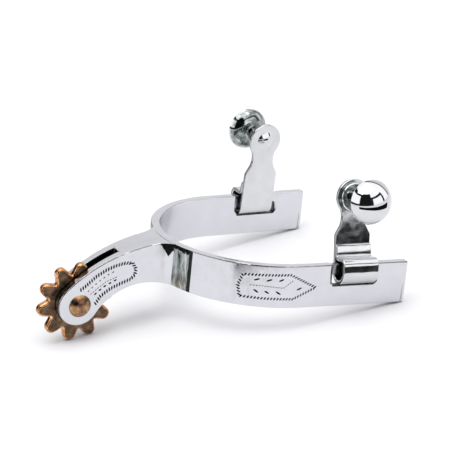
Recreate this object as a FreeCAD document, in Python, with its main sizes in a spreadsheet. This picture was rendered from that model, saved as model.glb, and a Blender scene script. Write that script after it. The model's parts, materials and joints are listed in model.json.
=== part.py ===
"""Western rowel spur: a U-shaped heel band, a forked drop shank with a ten-point rowel on a
riveted pin, and two swinging hangers that each carry a riveted strap button.

Every piece is drawn in the frame of the heel band: X runs from the heel towards the open ends
of the arms, Y to the wearer's left, and Z is the height of the band, with the lower edge of the
band at zero. The finished pieces are then tipped together until the spur stands on two points
of the rowel and on the two arm ends.
"""
import FreeCAD, Part
import math
import os

from FreeCAD import Placement, Rotation, Vector
import Sketcher

DRIVING_SIZES = {
    "band_height": 15.875,
    "band_thick": 3.3,
    "heel_radius": 37.5,
    "toe_out": 3.03,
    "arm_end": 77.3,
    "arm_corner": 1.2,
    "window_start": 47.2,
    "window_end": 64.3,
    "window_bottom": 7.8,
    "window_corner": 0.8,
    "rail_height": 3.6,
    "rail_relief": 0.45,
    "relief_round": 2.2,
    "relief_bottom": 9.4,
    "shank_top_radius": 64.0,
    "under_start": 9.0,
    "under_height": 0.3,
    "root_half": 6.5,
    "fork_half": 5.25,
    "root_start": 9.4,
    "root_flare": 9.6,
    "fork_start": 30.0,
    "fork_round": 7.7,
    "fork_top_angle": 133.6,
    "slot_width": 4.0,
    "slot_end": 20.3,
    "fork_back": 35.6,
    "fork_drop": 7.3,
    "pin_back": 35.2,
    "pin_drop": 7.5,
    "pin_radius": 2.0,
    "pin_clearance": 0.07,
    "pin_head_radius": 4.25,
    "pin_head_height": 1.9,
    "pin_peen_radius": 3.6,
    "pin_peen_height": 1.3,
    "rowel_points": 10,
    "rowel_radius": 14.75,
    "rowel_gullet": 10.4,
    "point_round": 2.3,
    "rowel_thick": 2.8,
    "hinge_height": 14.075,
    "left_place": 19.3,
    "right_place": 21.1,
    "hanger_width": 14.0,
    "strip_thick": 1.4,
    "eye_inner": 3.2,
    "eye_outer": 4.8,
    "eye_roof": 3.2,
    "eye_bottom": 5.2,
    "eye_roof_bend": 2.2,
    "eye_outer_bend": 4.4,
    "eye_inner_bend": 2.6,
    "flap_bend": 1.3,
    "flap_gap": 0.06,
    "flap_top": 8.2,
    "shoulder_height": 11.6,
    "waist_height": 14.8,
    "waist_width": 10.4,
    "waist_round": 8.6,
    "disc_blend": 40.0,
    "disc_height": 25.2,
    "disc_radius": 6.7,
    "left_lean": 3.2,
    "right_lean": 10.5,
    "button_radius": 8.15,
    "button_dome": 5.5,
    "button_back": 3.6,
    "button_back_round": 5.0,
    "button_boss_radius": 4.9,
    "button_boss": 0.9,
    "button_reach": 13.5,
    "button_neck": 2.75,
    "collar_radius": 5.4,
    "collar_thick": 1.3,
    "collar_round": 0.5,
    "tenon_radius": 2.1,
    "peen_radius": 3.5,
    "peen_height": 1.0,
}

doc = FreeCAD.newDocument("Spur")
sheet = doc.addObject("Spreadsheet::Sheet", "Sizes")
for row, (alias, value) in enumerate(DRIVING_SIZES.items(), start=1):
    sheet.set("A%d" % row, alias)
    sheet.set("B%d" % row, str(value))
    sheet.setAlias("B%d" % row, alias)
doc.recompute()


def size(expression):
    """The value of an expression in the sheet's aliases, such as 'pin_radius * 2'."""
    value = sheet.evalExpression(expression)
    return float(getattr(value, "Value", value))


def bound(expression):
    """The same expression as another object writes it, with every alias read from the sheet."""
    words = []
    word = ""
    for letter in expression + " ":
        if letter.isalnum() or letter == "_":
            word += letter
            continue
        words.append("Sizes." + word if word in DRIVING_SIZES else word)
        words.append(letter)
        word = ""
    return "".join(words).strip()


def new_body(label):
    body = doc.addObject("PartDesign::Body", label)
    body.Label = label
    return body


def new_sketch(body, name, role, raise_by=None):
    """A sketch on one of the body's own origin planes, raised along the plane's normal."""
    sketch = body.newObject("Sketcher::SketchObject", name)
    planes = [plane for plane in body.Origin.OriginFeatures if plane.Role == role]
    sketch.AttachmentSupport = [(planes[0], "")]
    sketch.MapMode = "FlatFace"
    if raise_by:
        sketch.setExpression(".AttachmentOffset.Base.z", bound(raise_by))
    doc.recompute()
    return sketch


def pin_point(sketch, edge, end, where):
    """Fix one end of an edge at a pair of expressions, measured from the sketch's origin."""
    for kind, expression in zip(("DistanceX", "DistanceY"), where):
        index = sketch.addConstraint(Sketcher.Constraint(kind, -1, 1, edge, end, size(expression)))
        sketch.setExpression("Constraints[%d]" % index, bound(expression))


def arc_between(start, end, radius):
    """The shorter arc from start to end: anticlockwise for a positive radius."""
    chord = end - start
    rise = math.sqrt(radius * radius - chord.Length ** 2 / 4)
    side = Vector(-chord.y, chord.x, 0).normalize()
    centre = (start + end) * 0.5 + side * math.copysign(rise, radius)
    first, last = (start, end) if radius > 0 else (end, start)
    angles = [math.atan2(point.y - centre.y, point.x - centre.x) for point in (first, last)]
    circle = Part.Circle(centre, Vector(0, 0, 1), abs(radius))
    return Part.ArcOfCircle(circle, angles[0], angles[1])


def draw(sketch, corners, closed=True):
    """Draw lines and arcs through corners. A corner is (x, y), or (x, y, radius) where the edge
    that leaves it is an arc; a radius that starts with a minus sign turns clockwise."""
    places = [Vector(size(corner[0]), size(corner[1]), 0) for corner in corners]
    count = len(corners) if closed else len(corners) - 1
    ends = []
    for step in range(count):
        start = places[step]
        end = places[(step + 1) % len(places)]
        if len(corners[step]) == 2:
            edge = sketch.addGeometry(Part.LineSegment(start, end), False)
            ends.append((edge, 1, 2))
            continue
        radius = corners[step][2]
        edge = sketch.addGeometry(arc_between(start, end, size(radius)), False)
        ends.append((edge, 1, 2) if size(radius) > 0 else (edge, 2, 1))
    for step in range(count):
        edge, first, last = ends[step]
        pin_point(sketch, edge, first, corners[step][:2])
        if step + 1 < len(ends) or closed:
            following = ends[(step + 1) % count]
            sketch.addConstraint(Sketcher.Constraint("Coincident", edge, last, following[0], following[1]))
        else:
            pin_point(sketch, edge, last, corners[-1][:2])
        if len(corners[step]) == 3:
            radius = corners[step][2].lstrip("-")
            index = sketch.addConstraint(Sketcher.Constraint("Radius", edge, size(radius)))
            sketch.setExpression("Constraints[%d]" % index, bound(radius))
    doc.recompute()
    return ends


def draw_circle(sketch, where, radius):
    centre = Vector(size(where[0]), size(where[1]), 0)
    edge = sketch.addGeometry(Part.Circle(centre, Vector(0, 0, 1), size(radius)), False)
    pin_point(sketch, edge, 3, where)
    index = sketch.addConstraint(Sketcher.Constraint("Radius", edge, size(radius)))
    sketch.setExpression("Constraints[%d]" % index, bound(radius))
    doc.recompute()


def new_pad(body, name, sketch, length, both_ways=False):
    pad = body.newObject("PartDesign::Pad", name)
    pad.Profile = sketch
    pad.setExpression("Length", bound(length))
    pad.Midplane = both_ways
    doc.recompute()
    return pad


def new_pocket(body, name, sketch, length, both_ways=False, reverse=False):
    """Cut a sketch into the body, and stop if the cut took nothing away."""
    before = body.Shape.Volume
    pocket = body.newObject("PartDesign::Pocket", name)
    pocket.Profile = sketch
    pocket.setExpression("Length", bound(length))
    pocket.Midplane = both_ways
    pocket.Reversed = reverse
    doc.recompute()
    if not body.Shape.Volume < before - 0.01:
        raise RuntimeError(name + " cut nothing")
    return pocket


def new_revolution(body, name, sketch):
    """Turn a half section about the sketch's own vertical axis."""
    turned = body.newObject("PartDesign::Revolution", name)
    turned.Profile = sketch
    turned.ReferenceAxis = (sketch, ["V_Axis"])
    turned.Angle = 360
    doc.recompute()
    return turned


def mirror_across(body, name, feature, role):
    """Repeat a feature on the other side of one of the body's origin planes."""
    planes = [plane for plane in body.Origin.OriginFeatures if plane.Role == role]
    mirror = body.newObject("PartDesign::Mirrored", name)
    mirror.Originals = [feature]
    mirror.MirrorPlane = (planes[0], [""])
    body.Tip = mirror
    doc.recompute()
    return mirror


# The arms leave the heel's arc along its tangents, which lean outwards by toe_out.
TANGENT_X = "heel_radius * (1 - sin(toe_out))"
TANGENT_Y = "heel_radius * cos(toe_out)"
OUTER_TANGENT_X = "(heel_radius - (heel_radius + band_thick) * sin(toe_out))"
OUTER_TANGENT_Y = "(heel_radius + band_thick) * cos(toe_out)"
ARM_RUN = "((arm_end - " + TANGENT_X + ") / cos(toe_out))"


def heel_band():
    """A flat strip bent round the boot's heel, with a window near the end of each arm. The rail
    left above a window is thinned on both faces so that the hanger's eye swings on it."""
    body = new_body("heel_band")
    outline = new_sketch(body, "half_outline", "XY_Plane")
    inner_end = ("arm_end", TANGENT_Y + " + " + ARM_RUN + " * sin(toe_out)")
    outer_end = ("arm_end - band_thick * sin(toe_out)", inner_end[1] + " + band_thick * cos(toe_out)")
    draw(outline, [
        ("0", "0", "-heel_radius"),
        (TANGENT_X, TANGENT_Y),
        inner_end,
        outer_end,
        (OUTER_TANGENT_X, OUTER_TANGENT_Y, "heel_radius + band_thick"),
        ("-band_thick", "0"),
    ])
    half = new_pad(body, "half_band", outline, "band_height")
    mirror_across(body, "whole_band", half, "XZ_Plane")

    corner = new_sketch(body, "arm_corner_outline", "XZ_Plane")
    draw(corner, [
        ("arm_end + band_thick", "-band_thick"),
        ("arm_end + band_thick", "arm_corner"),
        ("arm_end", "arm_corner", "-arm_corner"),
        ("arm_end - arm_corner", "0"),
        ("arm_end - arm_corner", "-band_thick"),
    ])
    new_pocket(body, "arm_corners", corner, "heel_radius * 3", both_ways=True)

    window = new_sketch(body, "window_outline", "XZ_Plane")
    low, high = "window_bottom", "(band_height - rail_height)"
    left, right, round_off = "window_start", "window_end", "window_corner"
    draw(window, [
        (left + " + " + round_off, low),
        (right + " - " + round_off, low, round_off),
        (right, low + " + " + round_off),
        (right, high + " - " + round_off, round_off),
        (right + " - " + round_off, high),
        (left + " + " + round_off, high, round_off),
        (left, high + " - " + round_off),
        (left, low + " + " + round_off, round_off),
    ])
    new_pocket(body, "windows", window, "heel_radius * 3", both_ways=True)

    for name, face_offset in (("inner", "0"), ("outer", "band_thick")):
        relief = new_sketch(body, name + "_relief_outline", "XY_Plane", raise_by="band_height")
        draw(relief, relief_corners(face_offset, name == "inner"))
        cut = new_pocket(body, name + "_relief", relief, "band_height - relief_bottom")
        mirror_across(body, name + "_reliefs", cut, "XZ_Plane")
    return body


def arm_point(along, outwards):
    """Expressions for a point on the left arm: a distance in X from the heel's apex, and a
    distance outwards from the arm's inner face, square to it."""
    run = "((" + along + " - " + TANGENT_X + ") / cos(toe_out))"
    return (along + " - (" + outwards + ") * sin(toe_out)",
            TANGENT_Y + " + " + run + " * sin(toe_out) + (" + outwards + ") * cos(toe_out)")


def relief_corners(face_offset, on_inner_face):
    """A shallow hollow along one face of the rail, with a round end past each end of the window."""
    depth = face_offset + (" + rail_relief" if on_inner_face else " - rail_relief")
    clear = face_offset + (" - 1" if on_inner_face else " + 1")
    bend = ("-relief_round",) if on_inner_face else ("relief_round",)
    reach = "sqrt(relief_round ^ 2 - (relief_round - rail_relief) ^ 2)"
    start, end = "(window_start - " + reach + ")", "(window_end + " + reach + ")"
    return [
        arm_point(start, face_offset) + bend,
        arm_point("window_start", depth),
        arm_point("window_end", depth) + bend,
        arm_point(end, face_offset),
        arm_point(end, clear),
        arm_point(start, clear),
    ]


# The underside of the shank is an arc that meets the round end of the fork without a corner.
UNDER_RADIUS = ("((fork_back - under_start) ^ 2 + (under_height + fork_drop) ^ 2 - fork_round ^ 2)"
                " / (2 * (fork_round + under_height + fork_drop))")
UNDER_SPAN = "(" + UNDER_RADIUS + " + fork_round)"
UNDER_MEET = ("-fork_back + fork_round * (fork_back - under_start) / " + UNDER_SPAN,
              "-fork_drop - fork_round * (" + UNDER_RADIUS + " - under_height - fork_drop) / " + UNDER_SPAN)


def shank():
    """The drop shank. It flares into the heel band at its root, sits flush with the band's top
    edge, and is slotted into a fork for the rowel."""
    body = new_body("shank")
    side = new_sketch(body, "side_outline", "XZ_Plane")
    draw(side, [
        ("0", "band_height", "shank_top_radius"),
        ("-fork_back + fork_round * cos(fork_top_angle)", "-fork_drop + fork_round * sin(fork_top_angle)",
         "fork_round"),
        ("-fork_back", "-fork_drop - fork_round", "fork_round"),
        UNDER_MEET + ("-" + UNDER_RADIUS,),
        ("-under_start", "under_height"),
        ("0", "0"),
        ("root_flare", "0"),
        ("root_flare", "band_height"),
    ])
    new_pad(body, "side_block", side, "2 * (root_half + root_flare)", both_ways=True)

    plan = new_sketch(body, "plan_outline", "XY_Plane")
    draw(plan, [
        ("-fork_back - 2 * fork_round", "fork_half"),
        ("-fork_start", "fork_half"),
        ("-root_start", "root_half", "root_flare"),
        ("-root_start + root_flare", "root_half + root_flare"),
        ("-root_start + root_flare", "root_half + 2 * root_flare"),
        ("-fork_back - 2 * fork_round", "root_half + 2 * root_flare"),
    ])
    flank = new_pocket(body, "flank", plan, "4 * band_height", both_ways=True)
    mirror_across(body, "flanks", flank, "XZ_Plane")

    seat = new_sketch(body, "band_seat_outline", "XY_Plane")
    draw_circle(seat, ("heel_radius", "0"), "heel_radius + band_thick")
    new_pocket(body, "band_seat", seat, "4 * band_height", both_ways=True)

    slot = new_sketch(body, "slot_outline", "XY_Plane")
    draw(slot, [
        ("-slot_end", "-slot_width / 2"),
        ("-slot_end", "slot_width / 2"),
        ("-fork_back - 2 * fork_round", "slot_width / 2"),
        ("-fork_back - 2 * fork_round", "-slot_width / 2"),
    ])
    new_pocket(body, "rowel_slot", slot, "4 * band_height", both_ways=True)

    bore = new_sketch(body, "pin_hole_outline", "XZ_Plane")
    draw_circle(bore, ("-pin_back", "-pin_drop"), "pin_radius")
    new_pocket(body, "pin_hole", bore, "4 * root_half", both_ways=True)
    return body


def rowel():
    """A flat star wheel: V gullets between points with round tips, turning freely on its pin."""
    body = new_body("rowel")
    hub = new_sketch(body, "hub_outline", "XZ_Plane")
    draw_circle(hub, ("0", "0"), "rowel_gullet")
    new_pad(body, "hub", hub, "rowel_thick", both_ways=True)

    # A flank runs from the gullet to where it touches the round tip.
    tip = "(rowel_radius - point_round)"
    gullet_x = "(rowel_gullet * cos(180 / rowel_points))"
    gullet_y = "(rowel_gullet * sin(180 / rowel_points))"
    reach = "sqrt((" + tip + " - " + gullet_x + ") ^ 2 + " + gullet_y + " ^ 2)"
    lean = "(atan(" + gullet_y + " / (" + tip + " - " + gullet_x + ")) - asin(point_round / " + reach + "))"
    touch = (tip + " + point_round * sin" + lean, "point_round * cos" + lean)
    point = new_sketch(body, "point_outline", "XZ_Plane")
    draw(point, [
        ("rowel_gullet / 2", "-" + gullet_y),
        (gullet_x, "-" + gullet_y),
        (touch[0], "-" + touch[1], "point_round"),
        touch,
        (gullet_x, gullet_y),
        ("rowel_gullet / 2", gullet_y),
    ])
    first = new_pad(body, "point", point, "rowel_thick", both_ways=True)
    ring = body.newObject("PartDesign::PolarPattern", "points")
    ring.Originals = [first]
    ring.Axis = (hub, ["N_Axis"])
    ring.Angle = 360
    ring.setExpression("Occurrences", bound("rowel_points"))
    body.Tip = ring
    doc.recompute()

    bore = new_sketch(body, "bore_outline", "XZ_Plane")
    draw_circle(bore, ("0", "0"), "pin_radius + pin_clearance")
    new_pocket(body, "bore", bore, "4 * rowel_thick", both_ways=True)
    return body


def dome(radius, height):
    """The radius of the ball that a round dome is cut from."""
    return "((" + radius + ") ^ 2 + (" + height + ") ^ 2) / (2 * (" + height + "))"


def rowel_pin():
    """A rivet across the fork, with a domed head on the right and a flatter peened end."""
    body = new_body("rowel_pin")
    half = new_sketch(body, "half_section", "XY_Plane")
    draw(half, [
        ("0", "-fork_half - pin_head_height", dome("pin_head_radius", "pin_head_height")),
        ("pin_head_radius", "-fork_half"),
        ("pin_radius", "-fork_half"),
        ("pin_radius", "fork_half"),
        ("pin_peen_radius", "fork_half", dome("pin_peen_radius", "pin_peen_height")),
        ("0", "fork_half + pin_peen_height"),
    ])
    new_revolution(body, "rivet", half)
    return body


def hanger(label):
    """A strip of sheet bent round the rail into a closed eye, whose plate stands up behind the
    rail and ends in a round disc. Its frame: X along the rail, Y outwards, Z up the plate, with
    the origin on the axis that it swings about."""
    body = new_body(label)
    plate = new_sketch(body, "plate_outline", "XZ_Plane", raise_by="eye_inner - strip_thick / 2")
    side, waist, disc_x = "hanger_width / 2", "waist_width / 2", "disc_radius * cos(disc_blend)"
    disc_z = "disc_height - disc_radius * sin(disc_blend)"
    draw(plate, [
        (side, "-strip_thick"),
        (side, "shoulder_height"),
        (waist, "waist_height", "-waist_round"),
        (disc_x, disc_z, "disc_radius"),
        ("0", "disc_height + disc_radius", "disc_radius"),
        ("-" + disc_x, disc_z, "-waist_round"),
        ("-" + waist, "waist_height"),
        ("-" + side, "shoulder_height"),
        ("-" + side, "-strip_thick"),
    ])
    new_pad(body, "plate", plate, "strip_thick")

    flap_y = "(-eye_inner + strip_thick + flap_gap)"
    path = new_sketch(body, "eye_path", "YZ_Plane")
    draw(path, [
        (flap_y, "flap_top"),
        (flap_y, "eye_roof + flap_bend", "flap_bend"),
        (flap_y + " + flap_bend", "eye_roof"),
        ("eye_outer - eye_roof_bend", "eye_roof", "-eye_roof_bend"),
        ("eye_outer", "eye_roof - eye_roof_bend"),
        ("eye_outer", "-eye_bottom + eye_outer_bend", "-eye_outer_bend"),
        ("eye_outer - eye_outer_bend", "-eye_bottom"),
        ("-eye_inner + eye_inner_bend", "-eye_bottom", "-eye_inner_bend"),
        ("-eye_inner", "-eye_bottom + eye_inner_bend"),
        ("-eye_inner", "0"),
    ], closed=False)
    section = new_sketch(body, "strip_section", "XY_Plane", raise_by="flap_top")
    near, far = flap_y + " - strip_thick / 2", flap_y + " + strip_thick / 2"
    draw(section, [("-" + side, near), (side, near), (side, far), ("-" + side, far)])
    eye = body.newObject("PartDesign::AdditivePipe", "eye")
    eye.Profile = section
    eye.Spine = path
    eye.Transition = "Right corner"
    doc.recompute()

    hole = new_sketch(body, "tenon_hole_outline", "XZ_Plane")
    draw_circle(hole, ("0", "disc_height"), "tenon_radius")
    new_pocket(body, "tenon_hole", hole, "4 * eye_inner", both_ways=True)
    return body


def collar(label):
    """The washer between a button's neck and its hanger, with a rounded rim."""
    body = new_body(label)
    half = new_sketch(body, "half_section", "XY_Plane")
    draw(half, [
        ("tenon_radius", "0"),
        ("collar_radius", "0"),
        ("collar_radius", "collar_thick - collar_round", "collar_round"),
        ("collar_radius - collar_round", "collar_thick"),
        ("tenon_radius", "collar_thick"),
    ])
    new_revolution(body, "washer", half)
    return body


def button(label):
    """A turned strap button: a domed head on a neck, with a tenon that goes through the collar and
    the hanger and is peened over behind it. It starts at the hanger's face and points along Y."""
    body = new_body(label)
    half = new_sketch(body, "half_section", "XY_Plane")
    boss = "(button_reach - button_back - button_boss)"
    draw(half, [
        ("0", "-strip_thick - peen_height", dome("peen_radius", "peen_height")),
        ("peen_radius", "-strip_thick"),
        ("tenon_radius", "-strip_thick"),
        ("tenon_radius", "collar_thick"),
        ("button_neck", "collar_thick"),
        ("button_neck", boss),
        ("button_boss_radius", boss),
        ("button_boss_radius", boss + " + button_boss", "button_back_round"),
        ("button_radius", "button_reach", dome("button_radius", "button_dome")),
        ("0", "button_reach + button_dome"),
    ])
    new_revolution(body, "turned_button", half)
    return body


def hinge_place(side, place, lean):
    """Where a hanger hangs: side is 1 on the left arm and -1 on the right, and place is measured
    along the arm from its bend. A lean of zero stands the plate square to the band's edge, and a
    positive one tips it over the boot."""
    toe = math.radians(size("toe_out"))
    along = size(TANGENT_X) + place * math.cos(toe)
    out = size("band_thick / 2")
    x = along - out * math.sin(toe)
    y = size(TANGENT_Y) + place * math.sin(toe) + out * math.cos(toe)
    turn = size("toe_out") if side > 0 else 180 - size("toe_out")
    facing = Rotation(Vector(0, 0, 1), turn)
    return Placement(Vector(x, side * y, size("hinge_height")), facing * Rotation(Vector(1, 0, 0), lean))


def standing():
    """The turn and drop that stand the spur on a table. The lowest rowel points lie half a pitch
    either side of straight down, and the arms rest on their rounded lower corners."""
    pin = (-size("pin_back"), -size("pin_drop"))
    corner = (size("arm_end - arm_corner"), size("arm_corner"))
    low_pin = size("(rowel_radius - point_round) * cos(180 / rowel_points) + point_round")
    low_corner = size("arm_corner")
    run, rise = corner[0] - pin[0], corner[1] - pin[1]
    pitch = math.atan2(rise, run) + math.asin((low_pin - low_corner) / math.hypot(run, rise))
    turn = Rotation(Vector(0, 1, 0), math.degrees(pitch))
    drop = turn.multVec(Vector(pin[0], 0, pin[1])).z - low_pin
    return Placement(Vector(0, 0, -drop), turn)


def build():
    """Make every piece, put it in its place on the band, and return them by name."""
    pieces = {"heel_band": heel_band(), "shank": shank(), "rowel": rowel(), "rowel_pin": rowel_pin()}
    places = {name: Placement() for name in pieces}
    pin = Vector(-size("pin_back"), 0, -size("pin_drop"))
    stand = standing()
    places["rowel_pin"] = Placement(pin, Rotation())
    places["rowel"] = Placement(pin, stand.Rotation.inverted())
    face = Placement(Vector(0, -size("eye_inner - strip_thick / 2"), size("disc_height")), Rotation())
    for name, side in (("left", 1), ("right", -1)):
        hung = hinge_place(side, size(name + "_place"), size(name + "_lean"))
        for piece, make, place in (("hanger", hanger, hung), ("collar", collar, hung * face),
                                   ("button", button, hung * face)):
            label = name + "_" + piece
            pieces[label] = make(label)
            places[label] = place
    for name, body in pieces.items():
        body.Placement = stand * places[name]
    doc.recompute()
    centre_on_origin(pieces)
    return pieces


def centre_on_origin(pieces):
    """Slide the spur so that the origin is under the middle of its bounding box."""
    box = FreeCAD.BoundBox()
    for body in pieces.values():
        box.add(body.Shape.optimalBoundingBox(False, False))
    slide = Vector(-box.Center.x, -box.Center.y, -box.ZMin)
    for body in pieces.values():
        body.Placement = Placement(slide, Rotation()) * body.Placement
    doc.recompute()


def check(pieces):
    for item in doc.Objects:
        if "Invalid" in item.State or "Error" in item.State:
            raise RuntimeError(item.Label + " failed: " + ", ".join(item.State))
    for name, body in pieces.items():
        shape = body.Shape
        if shape.isNull() or not shape.isValid() or len(shape.Solids) != 1:
            raise RuntimeError(name + " is not one valid solid")
        print("%-14s %8.1f mm3" % (name, shape.Volume))


pieces = build()
check(pieces)
os.makedirs("parts", exist_ok=True)
for name, body in pieces.items():
    body.Shape.exportStep(os.path.join("parts", name + ".step"))
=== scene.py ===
"""Looks for the western rowel spur: chrome band, shank, hangers and buttons, bronze rowel and rivet.

Lengths are in millimetres until a mesh is made, which puts them in metres in the row frame. The
band frame has X from the heel towards the open ends, Y to the wearer's left and Z up the band's
height, with its lower edge at zero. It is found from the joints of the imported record.
"""
import json
import math

import bmesh
import bpy
from mathutils import Matrix, Vector


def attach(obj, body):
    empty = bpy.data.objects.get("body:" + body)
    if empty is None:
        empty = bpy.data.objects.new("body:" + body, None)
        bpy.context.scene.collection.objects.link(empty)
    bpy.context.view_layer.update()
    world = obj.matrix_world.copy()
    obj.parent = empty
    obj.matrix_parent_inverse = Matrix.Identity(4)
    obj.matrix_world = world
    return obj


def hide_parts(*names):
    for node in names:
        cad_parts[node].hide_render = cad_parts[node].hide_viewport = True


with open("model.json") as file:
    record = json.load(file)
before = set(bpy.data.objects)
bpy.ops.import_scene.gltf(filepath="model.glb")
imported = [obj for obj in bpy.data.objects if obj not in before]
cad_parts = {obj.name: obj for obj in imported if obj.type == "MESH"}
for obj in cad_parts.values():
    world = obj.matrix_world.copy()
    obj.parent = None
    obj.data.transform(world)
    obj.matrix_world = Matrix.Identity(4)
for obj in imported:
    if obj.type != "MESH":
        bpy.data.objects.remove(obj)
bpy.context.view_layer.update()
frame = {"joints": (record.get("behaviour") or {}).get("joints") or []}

MM = 0.001
scene = bpy.context.scene
TINY = 1e-4  # millimetres within which two points are one
SHARP_ANGLE = 32  # degrees between two faces above which their edge stays crisp

# ---- sizes shared with the CAD part
BAND_HEIGHT = 15.875
BAND_THICK = 3.3
HEEL_RADIUS = 37.5
ARM_END = 77.3
ARM_CORNER = 1.2
WINDOW_START, WINDOW_END = 47.2, 64.3
WINDOW_BOTTOM = 7.8
WINDOW_TOP = BAND_HEIGHT - 3.6
WINDOW_CORNER = 0.8
RELIEF_DEPTH, RELIEF_ROUND, RELIEF_BOTTOM = 0.45, 2.2, 9.4

SHANK_TOP_RADIUS = 64.0
UNDER_START, UNDER_HEIGHT = 9.0, 0.3
ROOT_HALF, FORK_HALF = 6.5, 5.25
ROOT_START, ROOT_FLARE = 9.4, 9.6
FORK_START, FORK_ROUND, FORK_TOP_ANGLE = 30.0, 7.7, 133.6
FORK_BACK, FORK_DROP = 35.6, 7.3
SLOT_HALF, SLOT_END = 2.0, 20.3

PIN_BACK, PIN_DROP, PIN_RADIUS = 35.2, 7.5, 2.0
PIN_HEAD_RADIUS, PIN_HEAD_HEIGHT = 4.25, 1.9
PIN_PEEN_RADIUS, PIN_PEEN_HEIGHT = 3.6, 1.3
ROWEL_POINTS, ROWEL_RADIUS, ROWEL_GULLET = 10, 14.75, 10.4
POINT_ROUND, ROWEL_THICK, ROWEL_BORE = 2.3, 2.8, 2.07

HANGER_HALF, STRIP_THICK = 7.0, 1.4
EYE_INNER, EYE_OUTER, EYE_ROOF, EYE_BOTTOM = 3.2, 4.8, 3.2, 5.2
EYE_ROOF_BEND, EYE_OUTER_BEND, EYE_INNER_BEND, FLAP_BEND = 2.2, 4.4, 2.6, 1.3
FLAP_GAP, FLAP_TOP = 0.06, 8.2
FLAP_END, FLAP_SKIVE = 0.1, 1.7  # the flap's end is pared down to this over this length
SHOULDER_HEIGHT, WAIST_HEIGHT, WAIST_HALF, WAIST_ROUND = 11.6, 14.8, 5.2, 8.6
DISC_BLEND, DISC_HEIGHT, DISC_RADIUS = 40.0, 25.2, 6.7
LEANS = {"left": 3.2, "right": 10.5}  # degrees each hanger is turned about its rail at rest

BUTTON_RADIUS, BUTTON_DOME, BUTTON_BACK, BUTTON_BACK_ROUND = 8.15, 5.5, 3.6, 5.0
BUTTON_BOSS_RADIUS, BUTTON_BOSS, BUTTON_REACH, BUTTON_NECK = 4.9, 0.9, 13.5, 2.75
COLLAR_RADIUS, COLLAR_THICK, COLLAR_ROUND = 5.4, 1.3, 0.5
TENON_RADIUS, PEEN_RADIUS, PEEN_HEIGHT = 2.1, 3.5, 1.0

# ---- frames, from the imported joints
joints = {joint["name"]: joint for joint in frame["joints"]}
hinge_axis = Vector(joints["left_hanger_swing"]["axis"])
PITCH = math.atan2(-hinge_axis.z, hinge_axis.x)
TOE = math.asin(hinge_axis.y)

band_frame = Matrix.Rotation(PITCH, 4, "Y")
pin_centre = Vector(joints["rowel_spin"]["pos_m"]) / MM
band_frame.translation = pin_centre - band_frame @ Vector((-PIN_BACK, 0, -PIN_DROP))


def hinge_frame(side):
    """The frame of one hanger: X along its rail, Y away from the boot, Z up its plate."""
    turn = TOE if side == "left" else math.pi - TOE
    lean = math.radians(LEANS[side])
    hinge = Matrix.Rotation(PITCH, 4, "Y") @ Matrix.Rotation(turn, 4, "Z") @ Matrix.Rotation(lean, 4, "X")
    hinge.translation = Vector(joints[side + "_hanger_swing"]["pos_m"]) / MM
    return hinge


# ---- outlines and meshes
def arc(start, end, radius, steps):
    """Points from start to end on the shorter arc, end left out. A negative radius turns clockwise."""
    start, end = Vector(start), Vector(end)
    chord = end - start
    rise = math.sqrt(max(radius * radius - chord.length_squared / 4, 0))
    side = Vector((-chord.y, chord.x)).normalized()
    centre = (start + end) / 2 + side * math.copysign(rise, radius)
    first = math.atan2(start.y - centre.y, start.x - centre.x)
    sweep = 2 * math.asin(min(chord.length / 2 / abs(radius), 1)) * math.copysign(1, radius)
    return [centre + Vector((math.cos(a), math.sin(a))) * abs(radius)
            for a in (first + sweep * step / steps for step in range(steps))]


def outline(corners):
    """A path through corners: (x, y), or (x, y, radius, steps) where an arc leaves the corner."""
    points = []
    for here, following in zip(corners, corners[1:] + corners[:1]):
        if len(here) == 4:
            points += arc(here[:2], following[:2], here[2], here[3])
        else:
            points.append(Vector(here[:2]))
    return points


def fillet(points, rounds, steps=5):
    """An open path with the corners named in rounds, {number: radius}, turned into small arcs."""
    result = []
    for number, point in enumerate(points):
        point = Vector(point)
        if number not in rounds:
            result.append(point)
            continue
        before = (Vector(points[number - 1]) - point).normalized()
        after = (Vector(points[number + 1]) - point).normalized()
        half = before.angle(after) / 2
        reach = rounds[number] / math.tan(half)
        start, end = point + before * reach, point + after * reach
        centre = point + (before + after).normalized() * (rounds[number] / math.sin(half))
        for step in range(steps + 1):
            blend = start.lerp(end, step / steps)
            result.append(centre + (blend - centre).normalized() * rounds[number])
    return result


def stack(cells, place, layers, gap=None):
    """A solid from flat cells repeated on several layers. A cell is (corner keys, is_gapped), and
    place(key, layer) gives a corner's point. A gapped cell is empty between the two gap layers."""
    mesh = bmesh.new()
    corners = {}

    def corner(key, layer):
        if (key, layer) not in corners:
            corners[key, layer] = mesh.verts.new(place(key, layer))
        return corners[key, layer]

    def spans(is_gapped):
        return [span for span in range(layers - 1) if not (is_gapped and span == gap)]

    owners = {}
    for keys, is_gapped in cells:
        for a, b in zip(keys, keys[1:] + keys[:1]):
            owners[a, b] = is_gapped
    for keys, is_gapped in cells:
        filled = spans(is_gapped)
        for layer in range(layers):
            if (layer in filled) != (layer - 1 in filled):
                mesh.faces.new([corner(key, layer) for key in keys])
        for a, b in zip(keys, keys[1:] + keys[:1]):
            shared = spans(owners[b, a]) if (b, a) in owners else []
            for span in filled:
                if span not in shared:
                    ring = [corner(a, span), corner(b, span), corner(b, span + 1), corner(a, span + 1)]
                    mesh.faces.new(ring)
    bmesh.ops.recalc_face_normals(mesh, faces=mesh.faces)
    return mesh


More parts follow.
